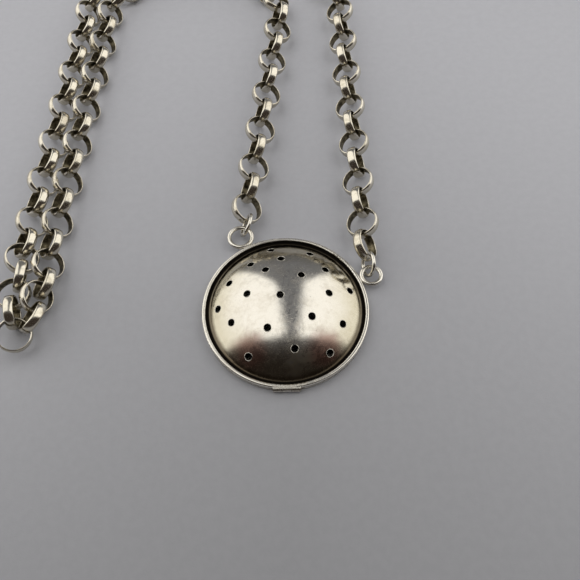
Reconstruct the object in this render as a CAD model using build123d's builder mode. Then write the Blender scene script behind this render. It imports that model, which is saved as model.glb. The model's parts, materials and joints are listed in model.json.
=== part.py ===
"""A wearable tea infuser: a perforated dome in a bezel band with a hinged back lid, on a belcher chain.

Millimetres, +Z up. The origin is the centre of the lid's outer face, which lies flat at z = 0. The chain
leaves the infuser towards +Y, goes round an arch, and lies doubled at -X, where it folds back on itself.
"""

from build123d import *
from math import asin, atan2, cos, degrees, radians, sin, sqrt
import os

os.makedirs("parts", exist_ok=True)

# Infuser
rim_radius = 17.0
band_wall = 0.8
rim_height = 1.8
rim_edge_round = 0.3
lid_thickness = 0.7
parting_gap = 0.05
dome_radius = 15.4
dome_top = 6.9
recess_floor = 1.25
dome_shell = 0.5
dome_foot_round = 0.9
flange_bottom = 0.85
mouth_radius = 14.4
hole_radius = 0.8
drill_overrun = 1.0

# Lid
collar_wall = 0.5
collar_fit = 0.05
collar_top = 1.12
collar_chamfer = 0.12
lid_edge_gap = 0.1
lid_hole_rings = ((6, 3.6), (12, 8.4))
nail_notch_radius = 2.2
nail_notch_depth = 0.7
nail_notch_height = 0.35

# Hinge, let into the rim at -Y, under a straight plate
barrel_radius = 0.6
barrel_length = 5.4
barrel_gap = 0.05
lid_knuckle_length = 1.7
pin_radius = 0.3
pin_fit = 0.03
hinge_clearance = 0.07
hinge_overlap = 0.02
flat_cut = 2.0
plate_bottom = 1.0
plate_top = 1.7
plate_proud = 0.3
seam_width = 0.14
seam_depth = 0.25

# Rings of round wire
wire_radius = 0.45
left_ring_radius = 2.45
right_ring_radius = 2.05
left_ring_angle = 118.0
right_ring_angle = 22.5
ring_height = 1.35
ring_cut = 0.08
solder_width = 1.3
solder_height = 0.5
solder_gap = 0.005
ring_cut_angle = 150
connector_radius = 2.39
connector_wire_radius = 0.4
# Reach from the jump ring's centre, shift to the left, height, and lean of the ring's axis
left_connector = (2.5, -0.8, 2.58, 25)
right_connector = (2.0, 0.23, 2.66, 20)

# Belcher links, bent from half-round wire with its flat side in
link_inner_radius = 3.1
link_thickness = 0.5
link_edge = 0.12
link_width = 2.0
link_height = 3.0

# Chain route: (x, y) of link centres. The first steps away from the fold are (distance, heading)
fold_centre = Vector(-53.6, -5.2)
inner_fold_steps = ((4.8, 48), (4.6, 89), (3.3, 70), (4.55, 90), (5.2, 91))
outer_fold_steps = ((4.9, 103), (4.2, 96), (4.3, 80), (4.2, 96), (4.0, 89))
fall_heading = 85.8
fall_pitch = 5.435
fall_steps = 12
left_strand_top = Vector(0.02, 83.61)
left_strand_end = Vector(-7.98, 23.65)
left_strand_steps = 11
inner_arch_steps = 13
right_strand_top = Vector(15.56, 84.53)
right_strand_end = Vector(16.96, 13.7)
right_strand_steps = 13
outer_arch_steps = 19

# Roll of a link about its run, and its height, by its count from the fold; the last two rolls repeat up
# the chain
inner_fold_rolls = (20, 130, 50, 130, 45, 135, 45)
outer_fold_rolls = (20, 95, 5, 110, 30, 135, 45, 135)
fold_heights = (3.2, 3.6, 3.6, 3.5, 3.5, 3.2)

# Over the arch the chain twists, so that on the strands one link in two lies flatter and the next stands
# steeper; the last link of a strand has half of that twist
arch_first = 18
arch_last = 28
inner_strand_twist = 20.0
outer_strand_twist = -20.0
strand_lift = 0.45

hinge_y = -(rim_radius - band_wall + barrel_radius + hinge_overlap)
hinge_z = lid_thickness + parting_gap


def finish(part, name):
    part.label = name
    export_step(part, f"parts/{name}.step")


def barrel_slice(start, length, radius):
    """A round bar along the hinge line, from x = start."""
    with BuildPart() as bar:
        with BuildSketch(Plane.YZ.offset(start)):
            with Locations((hinge_y, hinge_z)):
                Circle(radius)
        extrude(amount=length)
    return bar.part


# --- Bezel band, with the two outer hinge knuckles soldered to it ---
knuckle_start = lid_knuckle_length / 2 + barrel_gap
knuckle_length = barrel_length / 2 - knuckle_start
hinge_flat_y = -sqrt(rim_radius**2 - (barrel_length / 2) ** 2)

with BuildPart() as bezel_band:
    with BuildSketch(Plane.XY.offset(hinge_z)):
        Circle(rim_radius)
        Circle(rim_radius - band_wall, mode=Mode.SUBTRACT)
    extrude(amount=rim_height - hinge_z)
    top_edges = bezel_band.edges().group_by(Axis.Z)[-1]
    fillet(top_edges, rim_edge_round)
    # the strip's ends stay straight over the hinge
    with BuildSketch(Plane.XY.offset(hinge_z)):
        with Locations((0, hinge_flat_y)):
            Rectangle(2 * rim_radius, flat_cut, align=(Align.CENTER, Align.MAX))
    extrude(amount=rim_height, mode=Mode.SUBTRACT)
    # a straight plate over the hinge, soldered to the outside of the strip
    with BuildSketch(Plane.XY.offset(plate_bottom)):
        with Locations((0, hinge_flat_y - plate_proud)):
            Rectangle(barrel_length, plate_proud + band_wall / 2, align=(Align.CENTER, Align.MIN))
    extrude(amount=plate_top - plate_bottom)
    # the seam where the strip's ends meet
    with BuildSketch(Plane.XY.offset(rim_height)):
        with Locations((-barrel_length / 2, -rim_radius)):
            Rectangle(seam_width, 4 * band_wall)
    extrude(amount=-seam_depth, mode=Mode.SUBTRACT)
    add(barrel_slice(knuckle_start, knuckle_length, barrel_radius))
    add(barrel_slice(-knuckle_start - knuckle_length, knuckle_length, barrel_radius))
    # room for the lid's knuckle, and the bore for the pin
    add(
        barrel_slice(-knuckle_start, 2 * knuckle_start, barrel_radius + hinge_clearance),
        mode=Mode.SUBTRACT,
    )
    add(barrel_slice(-barrel_length, 2 * barrel_length, pin_radius + pin_fit), mode=Mode.SUBTRACT)
finish(bezel_band.part, "bezel_band")


# --- Perforated dome: one pressed shell with a flat flange soldered inside the band ---
dome_rise = dome_top - recess_floor
outer_sphere = (dome_radius**2 + dome_rise**2) / (2 * dome_rise)
sphere_centre = dome_top - outer_sphere
inner_sphere = outer_sphere - dome_shell
mouth_top = sphere_centre + sqrt(inner_sphere**2 - mouth_radius**2)
flange_radius = rim_radius - band_wall

# Hand-drilled holes as (distance from the axis, angle): one near the top, five round it, and an uneven
# outer ring
dome_holes = (
    (1.05, 150),
    (8.1, 119),
    (6.3, 58),
    (7.7, 168),
    (7.0, 240),
    (6.5, 323),
    (10.1, 94),
    (11.6, 127),
    (13.7, 102),
    (13.2, 66),
    (11.3, 42),
    (13.6, 14),
    (9.0, 10),
    (12.5, 155),
    (13.6, 181),
    (11.4, 200),
    (13.1, 236),
    (10.2, 279),
    (13.4, 309),
    (12.2, 338),
)


def on_sphere(radius, distance):
    """Height of a point of a sphere about the dome's centre, at a distance from the axis."""
    return sphere_centre + sqrt(radius**2 - distance**2)


with BuildPart() as perforated_dome:
    with BuildSketch(Plane.XZ) as dome_profile:
        with BuildLine():
            half = dome_radius / 2
            ThreePointArc((0, dome_top), (half, on_sphere(outer_sphere, half)), (dome_radius, recess_floor))
            Polyline(
                (dome_radius, recess_floor),
                (flange_radius, recess_floor),
                (flange_radius, flange_bottom),
                (mouth_radius, flange_bottom),
                (mouth_radius, mouth_top),
            )
            ThreePointArc(
                (mouth_radius, mouth_top),
                (half, on_sphere(inner_sphere, half)),
                (0, dome_top - dome_shell),
            )
            Line((0, dome_top - dome_shell), (0, dome_top))
        make_face()
        foot = dome_profile.vertices().sort_by_distance((dome_radius, recess_floor, 0))[0]
        fillet(foot, dome_foot_round)
    revolve(axis=Axis.Z)
    for distance, angle in dome_holes:
        lean = asin(distance / outer_sphere)
        way = Vector(sin(lean) * cos(radians(angle)), sin(lean) * sin(radians(angle)), cos(lean))
        drill = Plane(Vector(0, 0, sphere_centre) + way * (inner_sphere - drill_overrun), z_dir=way)
        with BuildSketch(drill):
            Circle(hole_radius)
        extrude(amount=dome_shell + 2 * drill_overrun, mode=Mode.SUBTRACT)
finish(perforated_dome.part, "perforated_dome")


# --- Back lid with its hinge knuckle, and the collar that locates it in the dome's mouth ---
lid_edge_y = hinge_y + lid_edge_gap
barrel_slot_y = hinge_y + barrel_radius + hinge_clearance

with BuildPart() as back_lid:
    with BuildSketch():
        Circle(rim_radius)
        with Locations((0, lid_edge_y)):
            Rectangle(
                2 * rim_radius,
                flat_cut,
                align=(Align.CENTER, Align.MAX),
                mode=Mode.SUBTRACT,
            )
        with Locations((0, barrel_slot_y)):
            Rectangle(
                barrel_length + 4 * barrel_gap,
                flat_cut,
                align=(Align.CENTER, Align.MAX),
                mode=Mode.SUBTRACT,
            )
        for count, distance in lid_hole_rings:
            with PolarLocations(distance, count):
                Circle(hole_radius, mode=Mode.SUBTRACT)
    extrude(amount=lid_thickness)
    outer_edge = back_lid.edges().filter_by(GeomType.CIRCLE).group_by(Axis.Z)[0].sort_by(SortBy.RADIUS)[-1]
    fillet(outer_edge, rim_edge_round)
    # nail notch at the free side
    with BuildSketch(Plane.XY.offset(lid_thickness)):
        with Locations((0, rim_radius + nail_notch_radius - nail_notch_depth)):
            Circle(nail_notch_radius)
    extrude(amount=-nail_notch_height, mode=Mode.SUBTRACT)
    # leaf from the lid to its knuckle
    with BuildSketch(Plane.XY.offset(hinge_z - barrel_radius)):
        with Locations((0, hinge_y)):
            Rectangle(
                lid_knuckle_length,
                barrel_radius + 2 * hinge_clearance,
                align=(Align.CENTER, Align.MIN),
            )
    extrude(amount=barrel_radius - parting_gap)
    add(barrel_slice(-lid_knuckle_length / 2, lid_knuckle_length, barrel_radius))
    add(barrel_slice(-barrel_length, 2 * barrel_length, pin_radius + pin_fit), mode=Mode.SUBTRACT)
finish(back_lid.part, "back_lid")

with BuildPart() as lid_collar:
    with BuildSketch(Plane.XY.offset(lid_thickness)):
        Circle(mouth_radius - collar_fit)
        Circle(mouth_radius - collar_fit - collar_wall, mode=Mode.SUBTRACT)
    extrude(amount=collar_top - lid_thickness)
    rims = lid_collar.edges().group_by(Axis.Z)[-1]
    chamfer(rims.sort_by(SortBy.RADIUS)[-1], collar_chamfer)
finish(lid_collar.part, "lid_collar")

with BuildPart() as hinge_pin:
    add(barrel_slice(-barrel_length / 2 - barrel_gap, barrel_length + 2 * barrel_gap, pin_radius))
finish(hinge_pin.part, "hinge_pin")


# --- Jump rings soldered flat on the band ---
def jump_ring_centre(ring_radius, angle):
    reach = rim_radius + ring_radius + wire_radius
    return Vector(reach * cos(radians(angle)), reach * sin(radians(angle)), ring_height)


def jump_ring(ring_radius, angle):
    """A ring of round wire with its cut towards the band, and the solder that bridges the two."""
    centre = jump_ring_centre(ring_radius, angle)
    seat = Plane(centre, x_dir=Vector(centre.X, centre.Y, 0), z_dir=(0, 0, 1))
    profile = Plane(centre + seat.x_dir * ring_radius, x_dir=seat.x_dir, z_dir=seat.y_dir)
    with BuildPart() as ring:
        with BuildSketch(profile):
            Circle(wire_radius)
        revolve(axis=Axis(centre, (0, 0, 1)))
        with BuildSketch(seat.offset(-wire_radius)):
            with Locations(PolarLocations(ring_radius, 1, start_angle=ring_cut_angle).locations[0]):
                Rectangle(4 * wire_radius, ring_cut)
        extrude(amount=2 * wire_radius, mode=Mode.SUBTRACT)
        with BuildSketch(seat.offset(-solder_height / 2)):
            with Locations((-ring_radius - wire_radius - band_wall / 4, 0)):
                Rectangle(2 * wire_radius + band_wall / 2, solder_width)
        extrude(amount=solder_height)
        with BuildSketch():
            Circle(rim_radius + solder_gap)
        extrude(amount=rim_height, mode=Mode.SUBTRACT)
    return ring.part


finish(jump_ring(left_ring_radius, left_ring_angle), "left_jump_ring")
finish(jump_ring(right_ring_radius, right_ring_angle), "right_jump_ring")


# --- Connector rings, from each jump ring to the first link ---
def connector_ring(ring_radius, ring_angle, first_link, place):
    """A ring of round wire through the jump ring and the first link."""
    reach, shift, height, axis_lean = place
    seat = jump_ring_centre(ring_radius, ring_angle)
    along = Vector(first_link.X - seat.X, first_link.Y - seat.Y).normalized()
    left = Vector(0, 0, 1).cross(along)
    centre = seat + along * reach + left * shift
    centre = Vector(centre.X, centre.Y, height)
    ring_way = left * cos(radians(axis_lean)) + Vector(0, 0, 1) * sin(radians(axis_lean))
    profile = Plane(centre + along * connector_radius, x_dir=along, z_dir=ring_way.cross(along))
    with BuildPart() as ring:
        with BuildSketch(profile):
            Circle(connector_wire_radius)
        revolve(axis=Axis(centre, ring_way))
    return ring.part


finish(
    connector_ring(left_ring_radius, left_ring_angle, left_strand_end, left_connector),
    "left_connector_ring",
)
finish(
    connector_ring(right_ring_radius, right_ring_angle, right_strand_end, right_connector),
    "right_connector_ring",
)


# --- Belcher chain ---
def belcher_link():
    """One half-round ring about Z, its flat face inwards."""
    crown = link_inner_radius + link_thickness
    shoulder = link_inner_radius + link_edge
    half_width = link_width / 2
    with BuildPart() as link:
        with BuildSketch(Plane.XZ):
            with BuildLine():
                Polyline(
                    (shoulder, -half_width),
                    (link_inner_radius, -half_width),
                    (link_inner_radius, half_width),
                    (shoulder, half_width),
                )
                ThreePointArc((shoulder, half_width), (crown, 0), (shoulder, -half_width))
            make_face()
        revolve(axis=Axis.Z)
    return link.part


def heading_vector(angle):
    return Vector(cos(radians(angle)), sin(radians(angle)))


def straight(start, end, steps):
    """Evenly spaced points after start, up to end."""
    return [start + (end - start) * (i / steps) for i in range(1, steps + 1)]


def half_circle(start, end, steps):
    """Evenly spaced points after start, clockwise round a half circle to end."""
    centre = (start + end) / 2
    radius = (end - start).length / 2
    first = atan2(start.Y - centre.Y, start.X - centre.X)
    return [centre + heading_vector(degrees(first) - 180 * i / steps) * radius for i in range(1, steps + 1)]


def side_route(fold_steps, arch_end, arch_steps, strand_end, strand_steps):
    """Link centres from the fold, up the fall, over the arch and down to the infuser."""
    points = [fold_centre]
    for distance, heading in fold_steps:
        points.append(points[-1] + heading_vector(heading) * distance)
    fall_end = points[-1] + heading_vector(fall_heading) * fall_pitch * fall_steps
    points += straight(points[-1], fall_end, fall_steps)
    points += half_circle(fall_end, arch_end, arch_steps)
    points += straight(arch_end, strand_end, strand_steps)
    return points


def share_between(count, first, last):
    return max(0.0, min(1.0, (count - first) / (last - first)))


def link_place(route, rolls, count):
    """Where a link of a route stands: its ring lies along the route, rolled about it."""
    before = route[max(count - 1, 0)]
    after = route[min(count + 1, len(route) - 1)]
    run = (after - before).normalized()
    onset = share_between(count, arch_first, arch_last)
    twist = min(onset, share_between(count, len(route), len(route) - 2))
    roll = rolls[count] if count < len(rolls) else rolls[-2 + (count - len(rolls)) % 2]
    roll += twist * (inner_strand_twist if route is inner_route else outer_strand_twist)
    height = fold_heights[count] if count < len(fold_heights) else link_height + twist * strand_lift
    left = Vector(-run.Y, run.X, 0)
    across = left * cos(radians(roll)) + Vector(0, 0, 1) * sin(radians(roll))
    centre = Vector(route[count].X, route[count].Y, height)
    return Plane(centre, x_dir=run, z_dir=run.cross(across)).location


link = belcher_link()
inner_route = side_route(
    inner_fold_steps,
    left_strand_top,
    inner_arch_steps,
    left_strand_end,
    left_strand_steps,
)
outer_route = side_route(
    outer_fold_steps,
    right_strand_top,
    outer_arch_steps,
    right_strand_end,
    right_strand_steps,
)

# Runs of links: name, route, its rolls, first count from the fold, last count
runs = (
    ("fold_link", inner_route, inner_fold_rolls, 0, 0),
    ("inner_fold_links", inner_route, inner_fold_rolls, 1, 5),
    ("inner_fall_lower_links", inner_route, inner_fold_rolls, 6, 11),
    ("inner_fall_upper_links", inner_route, inner_fold_rolls, 12, 17),
    ("inner_arch_left_links", inner_route, inner_fold_rolls, 18, 21),
    ("inner_arch_top_links", inner_route, inner_fold_rolls, 22, 25),
    ("inner_arch_right_links", inner_route, inner_fold_rolls, 26, 29),
    ("left_strand_upper_links", inner_route, inner_fold_rolls, 30, 35),
    ("left_strand_lower_links", inner_route, inner_fold_rolls, 36, 41),
    ("outer_fold_links", outer_route, outer_fold_rolls, 1, 5),
    ("outer_fall_lower_links", outer_route, outer_fold_rolls, 6, 11),
    ("outer_fall_upper_links", outer_route, outer_fold_rolls, 12, 17),
    ("outer_arch_left_links", outer_route, outer_fold_rolls, 18, 23),
    ("outer_arch_top_links", outer_route, outer_fold_rolls, 24, 29),
    ("outer_arch_right_links", outer_route, outer_fold_rolls, 30, 34),
    ("right_strand_upper_links", outer_route, outer_fold_rolls, 35, 39),
    ("right_strand_middle_links", outer_route, outer_fold_rolls, 40, 44),
    ("right_strand_lower_links", outer_route, outer_fold_rolls, 45, 49),
)

for name, route, rolls, first, last in runs:
    with BuildPart() as run_of_links:
        with Locations(*[link_place(route, rolls, count) for count in range(first, last + 1)]):
            add(link)
    finish(run_of_links.part, name)
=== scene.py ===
"""Looks for the wearable tea infuser: aged silver on a plain pale floor, under two broad soft panels."""

import json
import math
import random

import bmesh
import bpy
import numpy as np
from mathutils import Matrix, Vector

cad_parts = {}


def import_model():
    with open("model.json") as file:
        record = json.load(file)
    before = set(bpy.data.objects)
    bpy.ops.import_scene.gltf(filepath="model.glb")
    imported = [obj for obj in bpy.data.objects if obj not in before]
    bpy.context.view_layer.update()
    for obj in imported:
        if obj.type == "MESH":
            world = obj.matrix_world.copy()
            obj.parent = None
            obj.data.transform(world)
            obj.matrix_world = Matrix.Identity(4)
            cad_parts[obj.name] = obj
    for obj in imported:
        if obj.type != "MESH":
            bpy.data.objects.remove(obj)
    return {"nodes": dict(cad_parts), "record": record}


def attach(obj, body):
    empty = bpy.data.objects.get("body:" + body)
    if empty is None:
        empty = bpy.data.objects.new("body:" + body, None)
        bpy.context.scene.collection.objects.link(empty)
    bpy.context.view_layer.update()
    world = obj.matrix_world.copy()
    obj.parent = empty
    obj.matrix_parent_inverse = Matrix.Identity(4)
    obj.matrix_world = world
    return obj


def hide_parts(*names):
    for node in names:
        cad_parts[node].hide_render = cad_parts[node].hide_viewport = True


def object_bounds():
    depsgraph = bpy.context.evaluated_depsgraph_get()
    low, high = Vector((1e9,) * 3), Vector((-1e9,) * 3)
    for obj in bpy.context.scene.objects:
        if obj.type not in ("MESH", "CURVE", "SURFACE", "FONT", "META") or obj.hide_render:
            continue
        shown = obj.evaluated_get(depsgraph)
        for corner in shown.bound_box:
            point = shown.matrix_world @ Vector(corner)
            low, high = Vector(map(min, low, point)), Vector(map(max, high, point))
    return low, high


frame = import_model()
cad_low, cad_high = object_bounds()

MM = 0.001
nodes = frame["nodes"]
body_of = {n: b for b, members in frame["record"]["behaviour"]["bodies"].items() for n in members}
slot_of = {s["node"]: s["material_slot"] for s in frame["record"]["subparts"]}

# Tones of tarnish, and of painted shade and painted reflection
FALLOFF_YELLOW = (0.60, 0.54, 0.36)
FRONT_REFLECTION_BROWN = (0.10, 0.075, 0.05)
RED_REFLECTION = (0.30, 0.15, 0.12)
FAR_SIDE_SHADE = (0.38, 0.33, 0.25)
GREYED = (0.22, 0.22, 0.24)
FOOT_BROWN = (0.11, 0.085, 0.055)
FLANK_REFLECTION_BROWN = (0.13, 0.11, 0.075)
LOW_SIDE_SHADE = (0.22, 0.18, 0.12)
HOLLOW_SHADE_BLACK = (0.012, 0.01, 0.008)
BAND_WALL_SHADE = (0.02, 0.016, 0.012)

# A belcher link, in millimetres and radians
LINK_INNER = 3.1
LINK_SHOULDER = 3.22
LINK_CORNER = 0.12
LINK_CROWN = 0.36
LINK_HALF_WIDTH = 1.0
LINK_STEPS = 72
SEAM_DEPTH = 0.035
SEAM_HALF_ANGLE = 0.035
GREATEST_WEAR = 0.05
FIRST_LINK_SEED = 100

# Burrs, in millimetres
BURR_STEPS = 44
BURR_SIDES = 10
BURR_THICKNESS = 0.062
BURR_SINK = 0.02


# ---------------------------------------------------------------- materials
class Tree:
    """A material's node tree, with short calls for the nodes used here. Coordinates are millimetres."""

    def __init__(self, name):
        self.material = bpy.data.materials.new(name)
        self.material.use_nodes = True
        self.tree = self.material.node_tree
        self.shader = self.tree.nodes["Principled BSDF"]
        place = self.node("ShaderNodeTexCoord").outputs["Object"]
        scale = self.node("ShaderNodeVectorMath", operation="SCALE")
        self.link(place, scale.inputs[0])
        scale.inputs["Scale"].default_value = 1000.0
        self.mm = scale.outputs[0]

    def node(self, kind, **settings):
        made = self.tree.nodes.new(kind)
        for key, value in settings.items():
            setattr(made, key, value)
        return made

    def link(self, source, target):
        self.tree.links.new(source, target)

    def stretch(self, x, y, z):
        """The coordinate, scaled by axis."""
        made = self.node("ShaderNodeVectorMath", operation="MULTIPLY")
        self.link(self.mm, made.inputs[0])
        made.inputs[1].default_value = (x, y, z)
        return made.outputs[0]

    def noise(self, scale, detail=3.0, rough=0.5, vector=None, distortion=0.0):
        made = self.node("ShaderNodeTexNoise")
        self.link(vector or self.mm, made.inputs["Vector"])
        made.inputs["Scale"].default_value = scale
        made.inputs["Detail"].default_value = detail
        made.inputs["Roughness"].default_value = rough
        made.inputs["Distortion"].default_value = distortion
        return made.outputs["Fac"]

    def ramp(self, source, low, high, to_low=0.0, to_high=1.0):
        """source between low and high, smoothly, as to_low to to_high."""
        made = self.node("ShaderNodeMapRange", interpolation_type="SMOOTHSTEP")
        self.link(source, made.inputs["Value"])
        made.inputs["From Min"].default_value = low
        made.inputs["From Max"].default_value = high
        made.inputs["To Min"].default_value = to_low
        made.inputs["To Max"].default_value = to_high
        return made.outputs[0]

    def math(self, operation, a, b=None):
        made = self.node("ShaderNodeMath", operation=operation)
        for i, value in enumerate((a, b)):
            if value is None:
                continue
            if isinstance(value, (int, float)):
                made.inputs[i].default_value = value
            else:
                self.link(value, made.inputs[i])
        return made.outputs[0]

    def mix(self, factor, a, b):
        made = self.node("ShaderNodeMix", data_type="RGBA")
        self.link(factor, made.inputs["Factor"])
        for socket, value in ((made.inputs["A"], a), (made.inputs["B"], b)):
            if isinstance(value, tuple):
                socket.default_value = (*value, 1.0)
            else:
                self.link(value, socket)
        return made.outputs["Result"]

    def from_point(self, x, y, z):
        """Distance from a point, in millimetres."""
        made = self.node("ShaderNodeVectorMath", operation="DISTANCE")
        self.link(self.mm, made.inputs[0])
        made.inputs[1].default_value = (x, y, z)
        return made.outputs["Value"]

    def split(self):
        """The x, y and z of the place, in millimetres."""
        made = self.node("ShaderNodeSeparateXYZ")
        self.link(self.mm, made.inputs[0])
        return made.outputs[0], made.outputs[1], made.outputs[2]

    def from_axis(self, x, y):
        """Distance from the z axis, of a place with this x and y."""
        squares = self.math("ADD", self.math("MULTIPLY", x, x), self.math("MULTIPLY", y, y))
        return self.math("SQRT", squares)

    def bump(self, height, distance, normal=None):
        """A normal bumped by height, which 0 to 1 raises by distance in millimetres."""
        made = self.node("ShaderNodeBump")
        self.link(height, made.inputs["Height"])
        made.inputs["Distance"].default_value = distance * MM
        made.inputs["Strength"].default_value = 1.0
        if normal:
            self.link(normal, made.inputs["Normal"])
        return made.outputs[0]


def scratches(tree):
    """Fine crossing scratches, 0 to 1."""
    total = None
    for turn, thin in ((0.4, 26.0), (1.3, 20.0), (2.3, 32.0), (2.9, 18.0)):
        rotate = tree.node("ShaderNodeVectorRotate", rotation_type="Z_AXIS")
        tree.link(tree.mm, rotate.inputs["Vector"])
        rotate.inputs["Angle"].default_value = turn
        squash = tree.node("ShaderNodeVectorMath", operation="MULTIPLY")
        tree.link(rotate.outputs[0], squash.inputs[0])
        squash.inputs[1].default_value = (0.35, thin, thin * 0.5)
        line = tree.ramp(tree.noise(1.0, 2.0, 0.6, squash.outputs[0]), 0.66, 0.74)
        total = line if total is None else tree.math("MAXIMUM", total, line)
    return total


def silver(name, clean, tarnish=(0.50, 0.41, 0.27), amount=0.35, rough=0.16, dents=0.02):
    """Worn sterling silver: warm tarnish in cloudy patches, fine scratches, soft dents, dark specks."""
    tree = Tree(name)
    clouds = tree.noise(0.22, 4.0, 0.6, distortion=0.6)
    fine = tree.noise(1.3, 5.0, 0.65)
    cover = tree.math("ADD", tree.math("MULTIPLY", clouds, 0.65), tree.math("MULTIPLY", fine, 0.35))
    patch = tree.ramp(cover, 0.44, 0.66)
    specks = tree.ramp(tree.noise(3.4, 2.0, 0.5), 0.70, 0.78)
    lines = scratches(tree)
    tone = tree.mix(tree.math("MULTIPLY", patch, amount), clean, tarnish)
    tone = tree.mix(tree.math("MULTIPLY", specks, 0.55), tone, (0.16, 0.12, 0.08))
    tree.shader.inputs["Metallic"].default_value = 1.0
    level = tree.math("ADD", tree.math("MULTIPLY", patch, 0.14), tree.math("MULTIPLY", lines, 0.12))
    level = tree.math("ADD", level, tree.math("MULTIPLY", specks, 0.25))
    level = tree.math("ADD", level, rough)
    wave = tree.bump(tree.noise(0.28, 1.0, 0.4), dents)
    grain = tree.bump(tree.math("SUBTRACT", fine, tree.math("MULTIPLY", lines, 0.35)), 0.006, wave)
    return tree, tone, level, grain


def close(tree, tone, level, normal):
    """Join colour, roughness and normal to the shader."""
    tree.link(tone, tree.shader.inputs["Base Color"])
    tree.link(level, tree.shader.inputs["Roughness"])
    tree.link(normal, tree.shader.inputs["Normal"])
    return tree.material


def sphere_of(mesh):
    """Centre height, radius and foot radius of the dome's outer sphere, in mm.

    They come from the shell's vertices: the highest is the top, and the widest ring is the flange on
    which the sphere stands.
    """
    co = np.array([v.co for v in mesh.vertices]) * 1000
    radial = np.hypot(co[:, 0], co[:, 1])
    top = co[:, 2].max()
    shelf = co[radial > radial.max() - 0.01, 2].max()
    drop = top - co[:, 2]
    on_dome = (drop > 1.0) & (co[:, 2] > shelf + 1.0)
    radius = ((radial**2 + drop**2) / (2 * np.maximum(drop, 0.1)))[on_dome].max()
    rise = top - shelf
    return top - radius, radius, math.sqrt(2 * radius * rise - rise * rise)


def dome_material():
    """Domed shell: polished crown, painted dark and red-brown reflections towards the hinge, painted
    black shade in the recess and the holes.
    """
    tree, tone, level, normal = silver(
        "dome_silver", clean=(0.93, 0.90, 0.83), amount=0.22, rough=0.12, dents=0.035
    )
    x, y, _ = tree.split()
    wobble = tree.noise(0.35, 4.0, 0.6)
    radial = tree.from_axis(x, y)
    # painted fall-off: the panels' reflections dim towards the rim, tinted yellow
    falloff_reach = tree.math("ADD", radial, tree.math("MULTIPLY", wobble, 3.0))
    tone = tree.mix(tree.ramp(falloff_reach, 9.5, 16.5, 0.0, 0.6), tone, FALLOFF_YELLOW)
    # painted dark reflection of the front, strongest towards the hinge
    front = tree.math("ADD", tree.math("MULTIPLY", y, -1.0), tree.math("MULTIPLY", wobble, 3.0))
    low = tree.ramp(front, 8.2, 13.2)
    tone = tree.mix(tree.math("MULTIPLY", low, 0.72), tone, FRONT_REFLECTION_BROWN)
    # two painted red-brown reflections near the hinge
    for px, py in ((-7.0, -10.0), (7.6, -9.8)):
        spot = tree.math("ADD", tree.from_point(px, py, 3.4), tree.math("MULTIPLY", wobble, 3.0))
        tone = tree.mix(tree.ramp(spot, 6.4, 3.0, 0.0, 0.75), tone, RED_REFLECTION)
    # painted shade over the far side of the crown
    top = tree.ramp(tree.math("ADD", y, tree.math("MULTIPLY", wobble, 4.0)), 9.5, 14.0, 0.0, 0.5)
    tone = tree.mix(top, tone, FAR_SIDE_SHADE)
    streaks = tree.ramp(tree.noise(1.7, 5.0, 0.75, tree.stretch(1.0, 0.45, 1.0)), 0.5, 0.66)
    middle = tree.ramp(tree.math("ABSOLUTE", tree.math("SUBTRACT", x, 1.2)), 1.0, 3.2, 1.0, 0.0)
    streaked = tree.math("MULTIPLY", tree.math("MULTIPLY", middle, streaks), 0.45)
    tone = tree.mix(streaked, tone, GREYED)
    # darker brown towards the dome's foot, where it meets the recess
    ragged = tree.math("ADD", radial, tree.math("MULTIPLY", wobble, 0.5))
    foot = tree.ramp(ragged, dome_edge - 0.75, dome_edge + 0.05)
    tone = tree.mix(tree.math("MULTIPLY", foot, 0.85), tone, FOOT_BROWN)
    # painted black shade over the recess floor around the dome
    recess = tree.ramp(radial, dome_edge - 0.05, dome_edge + 0.3)
    tone = tree.mix(recess, tone, HOLLOW_SHADE_BLACK)
    # painted black shade on the walls of the holes, and the inside of the shell
    depth = tree.ramp(tree.from_point(0.0, 0.0, dome_centre), dome_radius - 0.05, dome_radius - 0.14)
    tone = tree.mix(depth, tone, HOLLOW_SHADE_BLACK)
    level = tree.math("ADD", level, tree.math("MULTIPLY", tree.math("MAXIMUM", recess, depth), 0.5))
    level = tree.math("ADD", level, tree.math("MULTIPLY", low, 0.10))
    return close(tree, tone, level, normal)


def plain_silver(name, flank_reflection=0.0, **settings):
    """Silver whose flanks get a painted dark reflection, as strong as the flank setting."""
    tree, tone, level, normal = silver(name, **settings)
    if flank_reflection:
        # painted dark reflection on faces that turn sideways
        facing = tree.node("ShaderNodeSeparateXYZ")
        tree.link(tree.node("ShaderNodeTexCoord").outputs["Normal"], facing.inputs[0])
        tone = tree.mix(tree.ramp(facing.outputs["Z"], 0.62, 0.1, 0.0, flank_reflection), tone, FLANK_REFLECTION_BROWN)
    return close(tree, tone, level, normal)


def band_material():
    """Bezel strip: bright on the top edge, painted shade on the inner wall in the recess and down the
    lower outer side.
    """
    tree, tone, level, normal = silver("band_silver", clean=(1.0, 0.97, 0.89), amount=0.2, rough=0.17)
    x, y, z = tree.split()
    radial = tree.from_axis(x, y)
    wobble = tree.math("MULTIPLY", tree.noise(0.9, 3.0, 0.6), 0.16)
    # painted shade on the inner wall, which faces the recess
    inside = tree.ramp(tree.math("ADD", radial, wobble), 16.46, 16.28)
    tone = tree.mix(inside, tone, BAND_WALL_SHADE)
    # painted shade lower down the outer side, towards the table
    below = tree.ramp(tree.math("ADD", z, wobble), 1.55, 1.0)
    tone = tree.mix(tree.math("MULTIPLY", below, 0.5), tone, LOW_SIDE_SHADE)
    return close(tree, tone, tree.math("ADD", level, tree.math("MULTIPLY", inside, 0.4)), normal)


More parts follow.
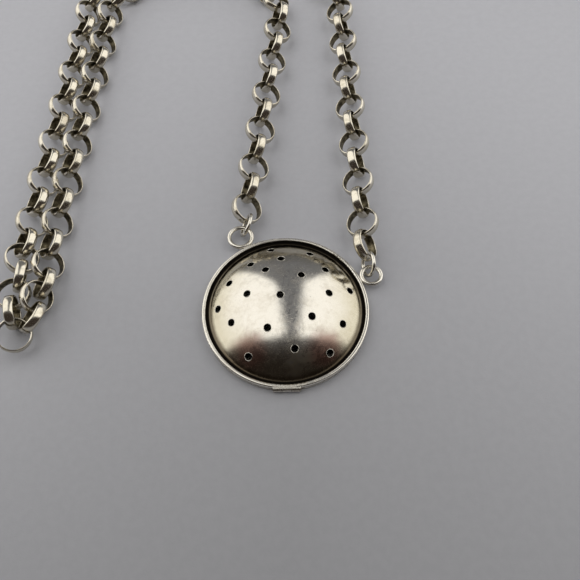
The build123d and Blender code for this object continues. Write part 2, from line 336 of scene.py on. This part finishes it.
def inside_material(name):
    """Oxidised silver that polishing doesn't reach."""
    tree = Tree(name)
    cloud = tree.noise(0.9, 4.0, 0.6)
    tone = tree.mix(tree.ramp(cloud, 0.35, 0.7), (0.06, 0.05, 0.03), (0.30, 0.26, 0.17))
    level = tree.ramp(tree.noise(2.1, 3.0, 0.6), 0.3, 0.7, 0.26, 0.5)
    tree.shader.inputs["Metallic"].default_value = 1.0
    return close(tree, tone, level, tree.bump(tree.noise(4.0, 4.0, 0.6), 0.01))


dome_centre, dome_radius, dome_edge = sphere_of(nodes["perforated_dome"].data)
materials = {
    "dome_silver": dome_material(),
    "band_silver": band_material(),
    "lid_silver": plain_silver(
        "lid_silver", clean=(0.80, 0.77, 0.70), tarnish=(0.36, 0.29, 0.2), amount=0.6, rough=0.27
    ),
    "wire_silver": plain_silver(
        "wire_silver", flank_reflection=0.55, clean=(0.98, 0.95, 0.87), amount=0.2, rough=0.14
    ),
    "link_silver": plain_silver(
        "link_silver",
        flank_reflection=0.45,
        clean=(0.93, 0.88, 0.76),
        tarnish=(0.45, 0.37, 0.22),
        amount=0.45,
        rough=0.15,
    ),
}
link_inside = inside_material("link_inside")


# ---------------------------------------------------------------- mesh helpers
def make_object(name, mesh, node):
    """A visible piece that stands for a CAD node and rides on the node's body."""
    made = bpy.data.objects.new(name, mesh)
    bpy.context.scene.collection.objects.link(made)
    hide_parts(node)
    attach(made, body_of[node])


def welded(mesh):
    """A bmesh of the mesh, with the seams between its faces closed."""
    bm = bmesh.new()
    bm.from_mesh(mesh)
    bmesh.ops.remove_doubles(bm, verts=bm.verts, dist=1e-7)
    return bm


def connected(vertices, neighbours):
    """The places of the vertices, as one array for each group joined by neighbours."""
    seen, found = set(), []
    for start in vertices:
        if start in seen:
            continue
        stack, group = [start], []
        seen.add(start)
        while stack:
            vertex = stack.pop()
            group.append(vertex.co[:])
            for other in neighbours(vertex):
                if other not in seen:
                    seen.add(other)
                    stack.append(other)
        found.append(np.array(group))
    return found


def islands(mesh):
    """The separate solids of a mesh, as arrays of vertex places."""
    bm = welded(mesh)
    found = connected(bm.verts, lambda vertex: [edge.other_vert(vertex) for edge in vertex.link_edges])
    bm.free()
    return found


def ring_frame(points):
    """Centre and axis of a ring from its vertices."""
    centre = points.mean(0)
    spread = np.cov((points - centre).T)
    _, vectors = np.linalg.eigh(spread)
    return Vector(centre), Vector(vectors[:, 0]).normalized()


def ring_matrix(centre, axis):
    """The place of a ring made about Z."""
    return Matrix.Translation(centre) @ axis.to_track_quat("Z", "X").to_matrix().to_4x4()


# ---------------------------------------------------------------- belcher links
def link_profile():
    """(radius, height, inside) round the section in mm: flat inside, crowned outside, soft corners."""
    section = [(LINK_INNER, height, True) for height in (-0.86, -0.43, 0.0, 0.43, 0.86)]
    corner_height = LINK_HALF_WIDTH - LINK_CORNER

    def corner(turn, side):
        angle = math.radians(turn)
        radius = LINK_SHOULDER - LINK_CORNER * math.cos(angle)
        section.append((radius, side * (corner_height + LINK_CORNER * math.sin(angle)), False))

    for turn in (30, 60, 90):
        corner(turn, 1)
    for step in range(1, 12):
        height = LINK_HALF_WIDTH - step * 2 * LINK_HALF_WIDTH / 12
        bulge = math.sqrt(max(0.0, 1 - height * height)) ** 1.1
        section.append((LINK_SHOULDER + LINK_CROWN * bulge, height, False))
    for turn in (90, 60, 30):
        corner(turn, -1)
    return section


def add_link(bm, place, chance):
    """One ring, worn a little thinner in places, with a faint solder seam."""
    section = link_profile()
    seam = chance.uniform(0, 2 * math.pi)
    worn = [chance.uniform(0.0, GREATEST_WEAR) for _ in range(2)]
    flow = [chance.uniform(0, 2 * math.pi) for _ in range(2)]
    rings = []
    for i in range(LINK_STEPS):
        angle = 2 * math.pi * i / LINK_STEPS
        off = (angle - seam + math.pi) % (2 * math.pi) - math.pi
        long_wear = worn[0] * (0.5 + 0.5 * math.cos(2 * angle + flow[0]))
        thin = long_wear + worn[1] * (0.5 + 0.5 * math.cos(5 * angle + flow[1]))
        groove = SEAM_DEPTH * math.exp(-(off / SEAM_HALF_ANGLE) ** 2)
        narrow = 1.0 - 0.035 * (0.5 + 0.5 * math.cos(3 * angle + flow[1]))
        ring = []
        for radius, height, inner in section:
            out = radius
            if not inner:
                loss = (radius - LINK_INNER) * thin / (LINK_CROWN + LINK_CORNER) * 0.9
                out = radius - loss - groove * (radius > 3.3)
            spot = Vector((out * math.cos(angle), out * math.sin(angle), height * narrow)) * MM
            ring.append(bm.verts.new(place @ spot))
        rings.append(ring)
    count = len(section)
    for i in range(LINK_STEPS):
        here, there = rings[i], rings[(i + 1) % LINK_STEPS]
        for j in range(count):
            k = (j + 1) % count
            face = bm.faces.new((here[j], there[j], there[k], here[k]))
            face.smooth = True
            if section[j][2] and section[k][2]:
                face.material_index = 1


def build_links(node, seed):
    """Worn links in the places of a node's solids."""
    chance = random.Random(seed)
    bm = bmesh.new()
    for points in islands(nodes[node].data):
        centre, axis = ring_frame(points)
        spin = Matrix.Rotation(chance.uniform(0, 2 * math.pi), 4, "Z")
        add_link(bm, ring_matrix(centre, axis) @ spin, chance)
    bmesh.ops.recalc_face_normals(bm, faces=bm.faces)
    mesh = bpy.data.meshes.new(node + "_worn")
    bm.to_mesh(mesh)
    bm.free()
    mesh.materials.append(materials["link_silver"])
    mesh.materials.append(link_inside)
    make_object(node + "_worn", mesh, node)


for order, node in enumerate(sorted(n for n in nodes if n.endswith("_links") or n == "fold_link")):
    build_links(node, FIRST_LINK_SEED + order)


# ---------------------------------------------------------------- burrs round the drilled holes
def hole_loops(mesh):
    """The drilled holes' edges on the dome's outer face, each as an array of places in mm."""
    bm = welded(mesh)
    centre = Vector((0, 0, dome_centre)) * MM

    def on_outer_face(vertex):
        on_sphere = abs((vertex.co - centre).length * 1000 - dome_radius) < 0.03
        return on_sphere and math.hypot(vertex.co.x, vertex.co.y) * 1000 < dome_edge - 0.3

    sharp = {}
    for edge in bm.edges:
        if len(edge.link_faces) != 2 or edge.calc_face_angle(0) < 0.6:
            continue
        ends = edge.verts
        if all(on_outer_face(vertex) for vertex in ends):
            for a, b in ((ends[0], ends[1]), (ends[1], ends[0])):
                sharp.setdefault(a, []).append(b)
    loops = [group * 1000 for group in connected(sharp, sharp.get) if len(group) > 8]
    bm.free()
    return loops


def build_burrs():
    """A low rolled lip round each hole, uneven as a hand drill leaves it."""
    chance = random.Random(7)
    bm = bmesh.new()
    centre = Vector((0, 0, dome_centre))
    for points in hole_loops(nodes["perforated_dome"].data):
        middle = Vector(points.mean(0))
        out = (middle - centre).normalized()
        side = out.orthogonal().normalized()
        other = out.cross(side)
        radius = float(np.mean(np.linalg.norm(points - np.array(middle), axis=1)))
        phase = [chance.uniform(0, 6.28) for _ in range(2)]
        rings = []
        for i in range(BURR_STEPS):
            angle = 2 * math.pi * i / BURR_STEPS
            uneven = 0.018 * math.sin(angle + phase[0])
            thick = BURR_THICKNESS + uneven + 0.008 * math.sin(3 * angle + phase[1])
            spoke = side * math.cos(angle) + other * math.sin(angle)
            ground = centre + (middle + spoke * radius - centre).normalized() * (dome_radius - BURR_SINK)
            ring = []
            for j in range(BURR_SIDES):
                turn = 2 * math.pi * j / BURR_SIDES
                spot = ground + (spoke * math.cos(turn) + out * math.sin(turn)) * thick
                ring.append(bm.verts.new(spot * MM))
            rings.append(ring)
        for i in range(BURR_STEPS):
            here, there = rings[i], rings[(i + 1) % BURR_STEPS]
            for j in range(BURR_SIDES):
                k = (j + 1) % BURR_SIDES
                bm.faces.new((here[j], here[k], there[k], there[j])).smooth = True
    bmesh.ops.recalc_face_normals(bm, faces=bm.faces)
    mesh = bpy.data.meshes.new("hole_burrs")
    bm.to_mesh(mesh)
    bm.free()
    mesh.materials.append(materials["wire_silver"])
    made = bpy.data.objects.new("hole_burrs", mesh)
    bpy.context.scene.collection.objects.link(made)
    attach(made, "infuser")


build_burrs()


# ---------------------------------------------------------------- carried-over nodes
for name, thing in nodes.items():
    thing.data.materials.clear()
    thing.data.materials.append(materials[slot_of[name]])


# ---------------------------------------------------------------- floor, light, camera
def floor():
    """A plain pale table top with painted light: a little brighter towards its far side and its sides.
    """
    bm = bmesh.new()
    reach, cells = 0.9, 12
    marks = [-reach + 2 * reach * i / cells for i in range(cells + 1)]
    grid = [[bm.verts.new((x, y, cad_low.z)) for y in marks] for x in marks]
    for i in range(cells):
        for j in range(cells):
            bm.faces.new((grid[i][j], grid[i + 1][j], grid[i + 1][j + 1], grid[i][j + 1]))
    mesh = bpy.data.meshes.new("floor")
    bm.to_mesh(mesh)
    bm.free()
    tree = Tree("floor_paint")
    grain = tree.noise(0.6, 4.0, 0.6)
    far = tree.mix(tree.ramp(grain, 0.3, 0.7), (0.78, 0.80, 0.885), (0.81, 0.83, 0.915))
    near = tree.mix(tree.ramp(grain, 0.3, 0.7), (0.37, 0.38, 0.415), (0.395, 0.405, 0.44))
    x, y, _ = tree.split()
    # painted light: the colour brightens away from the front and towards the sides
    painted_light_slope = tree.math("ADD", y, tree.math("MULTIPLY", tree.math("ABSOLUTE", x), 0.5))
    tone = tree.mix(tree.ramp(painted_light_slope, -90.0, 120.0), near, far)
    level = tree.ramp(grain, 0.3, 0.7, 0.55, 0.7)
    close(tree, tone, level, tree.bump(tree.noise(3.0, 3.0, 0.6), 0.02))
    mesh.materials.append(tree.material)
    made = bpy.data.objects.new("floor", mesh)
    bpy.context.scene.collection.objects.link(made)


floor()


def world():
    """Two broad bright panels, left and right, with a dim slot between them and a dark front."""
    scene_world = bpy.data.worlds.new("studio")
    bpy.context.scene.world = scene_world
    scene_world.use_nodes = True
    tree = scene_world.node_tree
    way = tree.nodes.new("ShaderNodeTexCoord").outputs["Generated"]
    background = tree.nodes["Background"]

    def side(normal, soft=0.05):
        """1 for directions on the normal's side of a plane, with a soft edge."""
        dot = tree.nodes.new("ShaderNodeVectorMath")
        dot.operation = "DOT_PRODUCT"
        tree.links.new(way, dot.inputs[0])
        dot.inputs[1].default_value = Vector(normal).normalized()
        step = tree.nodes.new("ShaderNodeMapRange")
        step.interpolation_type = "SMOOTHSTEP"
        tree.links.new(dot.outputs["Value"], step.inputs["Value"])
        step.inputs["From Min"].default_value = -soft
        step.inputs["From Max"].default_value = soft
        return step.outputs[0]

    def times(a, b):
        made = tree.nodes.new("ShaderNodeMath")
        made.operation = "MULTIPLY"
        tree.links.new(a, made.inputs[0])
        tree.links.new(b, made.inputs[1])
        return made.outputs[0]

    def panel(slot_edge, near_edge, far_edge):
        """A bright panel: its edge by the slot is softer than its near and far edges."""
        return times(times(side(slot_edge, 0.09), side(near_edge)), side(far_edge))

    def blend_to(below, factor, colour):
        made = tree.nodes.new("ShaderNodeMix")
        made.data_type = "RGBA"
        tree.links.new(factor, made.inputs["Factor"])
        if isinstance(below, tuple):
            made.inputs["A"].default_value = (*below, 1.0)
        else:
            tree.links.new(below, made.inputs["A"])
        made.inputs["B"].default_value = (*colour, 1.0)
        return made.outputs["Result"]

    dark_front, dim_back, bright = (0.035, 0.028, 0.024), (0.15, 0.15, 0.155), (1.02, 0.99, 0.93)
    tone = blend_to(dark_front, side((0.0, 1.0, 0.35), 0.35), dim_back)
    left = panel((-1.0, -0.1356, -0.034), (-0.15, 1.0, 0.24), (-0.653, -0.425, 0.284))
    right = panel((1.0, -0.15, -0.245), (0.12, 1.0, 0.24), (0.60, -0.45, 0.24))
    tone = blend_to(tone, left, bright)
    tone = blend_to(tone, right, bright)
    tree.links.new(tone, background.inputs["Color"])
    background.inputs["Strength"].default_value = 1.0


world()


def camera():
    """The view from in front and above; the place is in millimetres."""
    place = Vector((1.024, -62.739, 126.66))
    tilt = math.radians(28.195)
    roll = -0.02323
    right = Vector((1, 0, 0))
    up = Vector((0, math.cos(tilt), math.sin(tilt)))
    ahead = Vector((0, math.sin(tilt), -math.cos(tilt)))
    turned_right = right * math.cos(roll) + up * math.sin(roll)
    turned_up = up * math.cos(roll) - right * math.sin(roll)
    data = bpy.data.cameras.new("camera")
    data.sensor_width = 36.0
    data.lens = 42.77
    data.clip_start = 0.001
    data.clip_end = 20.0
    made = bpy.data.objects.new("camera", data)
    bpy.context.scene.collection.objects.link(made)
    turn = Matrix((turned_right, turned_up, -ahead)).transposed()
    made.matrix_world = Matrix.Translation(place * MM) @ turn.to_4x4()
    bpy.context.scene.camera = made


camera()
bpy.context.scene.view_settings.view_transform = "Standard"
